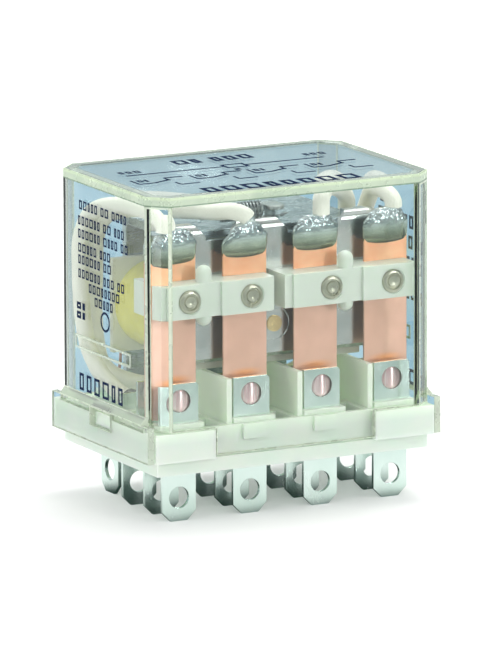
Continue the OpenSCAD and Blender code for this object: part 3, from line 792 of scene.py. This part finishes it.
def add_solder(i):
    """Solder over a strip's end: a thin wetted skirt, a swollen body and a lumpy top round the wire."""
    sides, rows = 72, 60
    h = STRIP_HALF
    low, high = STRIP_TOP - 4.1 * MM, STRIP_TOP + 0.35 * MM
    wire = Vector(ROUTES[i][0]) * MM
    neck_r, neck_top = 0.82 * MM, wire.z + 0.45 * MM
    px = POLE_X[i - 1]
    slope = 1.5 * MM if i == 2 else 0.0
    skirt, skirt_rise = 0.25, 0.4 * MM
    # Outlines up the joint, as (height, distance from the strip's middle)
    left = [(low, -h - 0.03 * MM), (high - 2.0 * MM - slope / 2, -h - 0.15 * MM),
            (high - 0.5 * MM, -h + 0.75 * MM + slope / 2), (high, -h + 1.5 * MM + slope)]
    right = [(low, h + 0.03 * MM), (high - 1.8 * MM, h + 0.18 * MM), (high - 0.5 * MM, h - 0.6 * MM),
             (high, h - 1.3 * MM)]
    front = [(low, 0.19 * MM), (low + 0.7 * MM, 0.34 * MM), (high - 1.4 * MM, 0.72 * MM), (high, 0.55 * MM)]
    back = [(low, 0.19 * MM), (low + 0.7 * MM, 0.28 * MM), (high - 1.4 * MM, 0.5 * MM), (high, 0.45 * MM)]
    points = []
    for j in range(rows + 1):
        t = j / rows
        # The body is full height at 1, and from there on the surface closes in on the wire
        climb = t * 1.2
        neck = max(0.0, (climb - 1.0) / 0.2)
        z = low + (high - low) * min(1.0, climb)
        x0, x1 = px + between(z, left), px + between(z, right)
        mid, half = (x0 + x1) / 2, (x1 - x0) / 2
        roundness = 0.45 + 0.35 * max(0.0, climb - 0.6)
        lumps = max(0.0, min(1.0, (climb - 0.45) / 0.4)) * (1 - 0.6 * neck)
        for k in range(sides):
            turn = 2 * math.pi * k / sides
            c, s = math.cos(turn), math.sin(turn)
            x = mid + half * math.copysign(abs(c) ** roundness, c)
            y = STRIP_Y + between(z, front if s < 0 else back) * math.copysign(abs(s) ** 0.8, s)
            level = z
            if t < skirt:
                level += (1 - t / skirt) * skirt_rise * ((x - px) / h) ** 2
            out = Vector((c, 1.6 * s, 0.4)).normalized() * swell_at(Vector((x, y, z)) / MM, i) * lumps * MM
            if neck > 0:
                ease = min(1.0, neck * 2.2) ** 0.5
                x += (wire.x + neck_r * c - x) * ease
                y += (wire.y + neck_r * s - y) * ease
                level = high + (neck_top - high) * neck
            points.append((x + out.x, y + out.y, level + out.z))
    joint = mesh_object(f"solder_joint_{i}", points, stitched(rows + 1, sides))
    finish(joint, f"strip_solder_{i}", solder_look, [f"strip_solder_{i}"])


def swell_at(spot, i):
    """How far the solder of pole i swells at a spot, in mm: large lumps, each pole's own, and finer ones."""
    shifted = 1.1 * spot + Vector((7.7 * i, 0, 0))
    return 0.16 * noise.noise(shifted) + 0.10 * noise.noise(2.6 * spot) + 0.05 * noise.noise(5.2 * spot)


def add_nc_contact(i):
    """A front contact rivet: its end in the tab's hole curves back on both sides. A flat head is behind."""
    node = f"nc_contact_{i}"
    (left, f, _), (right, b, _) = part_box(node)
    x, _, z = centre(node)
    head_r = (right - left) / 2
    shank_r = head_r - 0.2 * MM
    curve_back = 0.34 * MM
    profile = [(0, f - 0.06 * MM), (0.35 * shank_r, f - 0.055 * MM), (0.7 * shank_r, f - 0.02 * MM),
               (0.92 * shank_r, f + 0.04 * MM), (shank_r, f + 0.16 * MM), (shank_r, b - 0.6 * MM),
               (head_r - 0.05 * MM, b - 0.6 * MM), (head_r, b - 0.5 * MM), (head_r, b - 0.15 * MM),
               (0.85 * head_r, b - 0.03 * MM), (0.4 * head_r, b), (0, b)]
    rivet = lathe(f"contact_rivet_{i}", profile, [(x, z)], 48)
    for vert in rivet.data.vertices:
        if vert.co.y < f + 0.2 * MM:
            vert.co.y += curve_back * ((vert.co.x - x) / shank_r) ** 2
    finish(rivet, node, contact_copper, [node])


def add_carrier_rivets():
    """Four rivets with rolled heads: a raised rim, a shallow ring and a small dimple."""
    heads = islands("carrier_rivets")
    low, high = heads[0]
    f, b, r = low.y, high.y, (high.x - low.x) / 2
    shank = 0.75 * MM
    profile = [(0, f - 0.05 * MM), (0.12 * r, f - 0.06 * MM), (0.22 * r, f - 0.10 * MM),
               (0.48 * r, f - 0.10 * MM), (0.56 * r, f + 0.08 * MM), (0.66 * r, f + 0.08 * MM),
               (0.72 * r, f - 0.12 * MM), (0.86 * r, f - 0.10 * MM), (0.96 * r, f - 0.02 * MM),
               (r, f + 0.08 * MM), (r, f + 0.22 * MM), (shank, f + 0.22 * MM), (shank, b - 0.3 * MM),
               (0.8 * r, b - 0.3 * MM), (0.8 * r, b - 0.08 * MM), (0.7 * r, b), (0, b)]
    centres = [((low.x + high.x) / 2, (low.z + high.z) / 2) for low, high in heads]
    rivets = lathe("carrier_rivet_heads", profile, centres, 40)
    finish(rivets, "carrier_rivets", rivet_look, ["carrier_rivets"])


def add_spring():
    """Return spring: close coils over the hinge, a leg on the armature and a hook at the bracket's tab."""
    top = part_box("yoke")[1][2]
    leg_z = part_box("armature")[1][2] + 0.25 * MM
    y, z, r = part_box("armature")[0][1] + 3.4 * MM, top + 1.5 * MM, 1.0 * MM
    left, right, turns, steps = -5.7 * MM, -0.1 * MM, 12, 22
    leg = [(left + 1.3 * MM, y - 2.1 * MM, leg_z), (left + 1.1 * MM, y - 1.5 * MM, leg_z),
           (left + 0.2 * MM, y - 1.2 * MM, leg_z), (left - 0.1 * MM, y - 0.6 * MM, z - 0.8 * MM),
           (left, y, z - r)]
    coil = [Vector((left + (right - left) * k / (turns * steps), y - r * math.sin(2 * math.pi * k / steps),
                    z - r * math.cos(2 * math.pi * k / steps))) for k in range(1, turns * steps + 1)]
    hook = [(right, y, z - r), (0.5 * MM, y - 0.4 * MM, z - r - 0.05 * MM),
            (1.3 * MM, y - 1.1 * MM, z - 0.8 * MM), (2.2 * MM, y - 1.2 * MM, z - 0.75 * MM),
            (3.0 * MM, y - 1.1 * MM, z - 0.5 * MM)]
    route = smooth_route(leg, 5) + coil + smooth_route(hook, 5)[1:]
    spring = tube("return_spring_wire", route, 0.17 * MM, 8)
    bpy.context.collection.objects.link(spring)
    spring.data.materials.append(spring_look)
    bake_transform(spring)
    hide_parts("return_spring")


def stadium(flat, radius):
    """The length of an outline with flat top and bottom and round ends, and a function of places on it."""
    bend = math.pi * radius
    total = 4 * flat + 2 * bend

    def round_end(x, turn):
        out = Vector((math.cos(turn), 0, math.sin(turn)))
        return Vector((x, 0, 0)) + radius * out, out

    def at(far):
        """Place and outward direction at a distance round the outline, from the right end of the top."""
        far %= total
        if far < 2 * flat:
            return Vector((flat - far, 0, radius)), Vector((0, 0, 1))
        far -= 2 * flat
        if far < bend:
            return round_end(-flat, math.pi / 2 + far / radius)
        far -= bend
        if far < 2 * flat:
            return Vector((-flat + far, 0, -radius)), Vector((0, 0, -1))
        return round_end(flat, -math.pi / 2 + (far - 2 * flat) / radius)

    return total, at


def add_tape():
    """Yellow tape wound over the coil: slightly uneven, with the last turn's end showing as a step."""
    low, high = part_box("coil_tape")
    half_w, half_h = (high[0] - low[0]) / 2, (high[2] - low[2]) / 2
    cx, _, cz = centre("coil_tape")
    around, along = 120, 22
    thick, sunk, step_high, crease_high = 0.28 * MM, 0.10 * MM, 0.10 * MM, 0.07 * MM
    total, outline = stadium(half_w - half_h, half_h)
    step_start = 2 * (half_w - half_h) + 0.62 * math.pi * half_h
    step_length = 0.45 * total
    points, faces = [], []
    for outside in (True, False):
        for a in range(around):
            far = total * a / around
            place, out = outline(far)
            step = step_high if (far - step_start) % total < step_length else 0.0
            for b in range(along + 1):
                y = low[1] + (high[1] - low[1]) * b / along
                ease = 1 - abs(2 * b / along - 1) ** 6
                crease = crease_high * noise.noise(Vector((far / (3 * MM), y / (1.3 * MM), 3.0)))
                grow = (crease + step) * ease if outside else -thick
                spot = place + out * (grow - sunk)
                points.append((cx + spot.x, y, cz + spot.z))
    width = along + 1
    inside = around * width
    for a in range(around):
        nxt = (a + 1) % around
        for b in range(along):
            outer = (a * width + b, a * width + b + 1, nxt * width + b + 1, nxt * width + b)
            faces += [outer, tuple(inside + v for v in reversed(outer))]
        for b in (0, along):
            edge = (a * width + b, nxt * width + b, inside + nxt * width + b, inside + a * width + b)
            faces.append(edge if b == 0 else tuple(reversed(edge)))
    finish(mesh_object("coil_tape_wrap", points, faces, 40), "coil_tape", tape_look, ["coil_tape"])


# ---------------------------------------------------------------- print on the cover

class Print:
    """Plain marks on one flat face of the cover, in mm along the face's own two directions."""

    def __init__(self, name, place):
        self.name, self.place = name, place
        self.points, self.faces = [], []

    def stroke(self, start, end, width):
        """A straight bar of ink, sunk a little way into the face so that no gap shows."""
        sunk, proud = -0.01, 0.02
        start, end = Vector(start), Vector(end)
        across = (end - start).orthogonal().normalized() * width / 2
        corners = [start - across, end - across, end + across, start + across]
        first = len(self.points)
        self.points += [self.place(*corner, level) for level in (sunk, proud) for corner in corners]
        a, b, c, d, e, f, g, h = range(first, first + 8)
        self.faces += [(d, c, b, a), (e, f, g, h), (a, b, f, e), (b, c, g, f), (c, d, h, g), (d, a, e, h)]

    def row(self, u, v, words, block, high, gap, line=0.2):
        """Groups of plain frames in place of lettering, from u on along the line at v."""
        widths = (1.0, 0.8, 1.15, 0.9, 0.7)
        for word, count in enumerate(words):
            for k in range(count):
                wide = block * widths[(3 * word + 2 * k + count) % len(widths)]
                self.box(u, v - high / 2, u + wide, v + high / 2, line)
                u += wide + gap
            u += 2 * gap

    def box(self, left, low, right, high, line):
        """A frame of four bars that only meet end to side."""
        half = line / 2
        for v in (low + half, high - half):
            self.stroke((left, v), (right, v), line)
        for u in (left + half, right - half):
            self.stroke((u, low + line), (u, high - line), line)

    def path(self, points, width):
        for start, end in zip(points, points[1:]):
            self.stroke(start, end, width)

    def ring(self, u, v, radius, width):
        sides = 16
        turns = [2 * math.pi * k / sides for k in range(sides + 1)]
        self.path([(u + radius * math.cos(turn), v + radius * math.sin(turn)) for turn in turns], width)

    def done(self):
        obj = mesh_object(self.name, [Vector(p) * MM for p in self.points], self.faces, smooth=False)
        finish(obj, ROOT, ink_look)


def add_top_print():
    """A contact diagram: one changeover symbol for each pole, the coil's line above them, and plain rows."""
    top = COVER_HIGH / MM
    marks = Print("top_print", lambda u, v, level: (u, v, top + level))
    marks.row(-6.2, 7.6, (2, 3), 1.6, 2.6, 0.6, 0.5)
    for u, v in ((-15.6, 4.4), (11.0, 5.0)):
        marks.row(u, v, (3,), 0.7, 1.3, 0.4, 0.25)
    marks.path([(-15.6, 2.4), (-1.8, 2.4)], 0.4)
    marks.box(-1.8, 1.2, 1.4, 3.6, 0.4)
    marks.path([(1.4, 2.4), (12.4, 2.4)], 0.4)
    for k in range(len(POLES)):
        x, y = -13.4 + 8.2 * k, -3.4
        marks.path([(x - 3.2, y), (x - 1.0, y), (x + 1.6, y + 1.2)], 0.4)
        marks.stroke((x - 3.2, y), (x - 3.2, y + 2.6), 0.3)
        for side in (-1, 1):
            marks.stroke((x + 1.4, y + 0.8 * side), (x + 1.4, y + 2.4 * side), 0.3)
            marks.stroke((x + 1.4, y + 2.4 * side), (x + 4.0, y + 2.4 * side), 0.4)
        marks.row(x - 2.6, y + 1.8, (2,), 0.6, 1.3, 0.3, 0.25)
    marks.stroke((-1.4, 0.1), (-0.6, 0.1), 0.8)
    marks.row(-11.4, -10.9, (8,), 2.1, 3.0, 0.8, 0.6)
    marks.done()


def add_left_print():
    """Rows of plain frames in place of the ratings, over two short rows, a ring and one long row."""
    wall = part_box("cover")[0][0] / MM + SIDE_BAND
    marks = Print("left_print", lambda u, v, level: (wall - level, -u, v))
    for z, start, words in ((37.9, -6.8, (5, 2, 4)), (35.9, -7.1, (6, 2, 3)), (34.2, -7.1, (6, 4, 2)),
                            (32.4, -7.1, (5, 3)), (30.9, -7.1, (6, 2)), (29.1, -7.1, (6, 3, 2)),
                            (27.6, -4.2, (8,)), (26.1, -2.6, (5,))):
        marks.row(start, z, words, 0.8, 1.15, 0.34, 0.22)
    for z in (24.9, 23.7):
        marks.row(-7.6, z, (2,), 1.0, 0.9, 0.4, 0.35)
    marks.ring(0.3, 24.0, 1.15, 0.3)
    marks.row(-7.0, 15.2, (6,), 1.5, 2.2, 0.8, 0.35)
    marks.done()


def add_right_print():
    """A boxed pair, four short rows and one long row of plain frames."""
    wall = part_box("cover")[1][0] / MM - SIDE_BAND
    marks = Print("right_print", lambda u, v, level: (wall + level, u, v))
    marks.box(-2.5, 36.0, 0.4, 37.8, 0.25)
    marks.row(-2.0, 36.9, (2,), 0.75, 0.8, 0.4)
    for z, start, words in ((34.5, -8.4, (3, 2)), (31.9, -11.0, (4,)), (29.2, -9.0, (3,)),
                            (25.4, -9.2, (2,))):
        marks.row(start, z, words, 1.2, 1.7, 0.5, 0.35)
    marks.row(-11.0, 14.6, (5,), 1.4, 2.0, 0.7, 0.4)
    marks.done()


# ---------------------------------------------------------------- the relay

add_camera()
add_studio()
add_floor()

mint = moulded("mint_moulding", (0.68, 0.73, 0.665), (0.61, 0.725, 0.64), 0.42, Subsurface_Weight=0.8,
               Subsurface_Scale=2.0 * MM, Subsurface_Radius=GREENISH, painted_light_above=SEATS_TOP)
ivory = moulded("ivory_moulding", (0.68, 0.74, 0.67), (0.63, 0.71, 0.63), 0.38, Subsurface_Weight=0.4,
                Subsurface_Scale=0.8 * MM, Subsurface_Radius=GREENISH)
bobbin_look = moulded("bobbin_moulding", (0.88, 0.90, 0.80), (0.82, 0.86, 0.76), 0.45)
tinned = sheet_metal("tinned_brass", (0.76, 0.86, 0.82), (0.68, 0.80, 0.75), 0.22)
plate = sheet_metal("polished_nickel", (0.70, 0.72, 0.70), (0.64, 0.66, 0.65), 0.20, grain=(0.12, 1, 1),
                    depth=0.0003)
yoke_look = sheet_metal("zinc_plate", (0.46, 0.54, 0.57), (0.36, 0.44, 0.47), 0.26, grain=(0.12, 1, 1))
rivet_look = sheet_metal("rivet_steel", (0.62, 0.61, 0.49), (0.50, 0.49, 0.39), 0.30)
copper = copper_strip()
contact_copper = brushed_end("brushed_copper", (1.0, 0.84, 0.84), (0.90, 0.60, 0.62), 0.36, Anisotropic=0.9)
contact_silver = brushed_end("silver_contact", (0.93, 0.92, 0.88), (0.84, 0.83, 0.80), 0.2, Anisotropic=0.4)
solder_look = solder()
sleeve_look = woven_sleeve()
clear = clear_plastic("clear_polycarbonate", (0.98, 0.995, 0.99), (0.97, 0.99, 0.985))
tape_look = coil_paper()
enamel_look = enamelled()
ink_look = ink()
spring_look = sheet_metal("spring_wire", (0.42, 0.45, 0.45), (0.25, 0.28, 0.28), 0.25)
brass_look = sheet_metal("brass", (0.90, 0.70, 0.38), (0.78, 0.56, 0.28), 0.22)

rounded_copy("base", mint, 0.15)
add_cover()
for i in POLES:
    for kind in ("nc", "no", "com"):
        rounded_copy(f"{kind}_terminal_{i}", tinned, 0.07)
    rounded_copy(f"contact_strip_{i}", copper, 0.04)
    rounded_copy(f"no_contact_{i}", contact_silver, 0.1)
    rounded_copy(f"moving_contact_{i}", contact_silver, 0.12)
    add_nc_contact(i)
    add_solder(i)
    add_pigtail(i)
for side in ("left", "right"):
    rounded_copy(f"coil_terminal_{side}", tinned, 0.07)
    rounded_copy(f"carrier_{side}", ivory, 0.18)
    rounded_copy(f"coil_lead_{side}", enamel_look, 0.01)
add_carrier_rivets()
rounded_copy("armature", plate, 0.05)
rounded_copy("residual_pin", brass_look, 0.06)
rounded_copy("spring_bracket", plate, 0.08)
add_spring()
rounded_copy("yoke", yoke_look, 0.12)
rounded_copy("core", yoke_look, 0.12)
rounded_copy("bobbin", bobbin_look, 0.15)
rounded_copy("coil_winding", enamel_look, 0.05)
add_tape()
rounded_copy("lower_solder", solder_look, 0.1)
add_top_print()
add_left_print()
add_right_print()
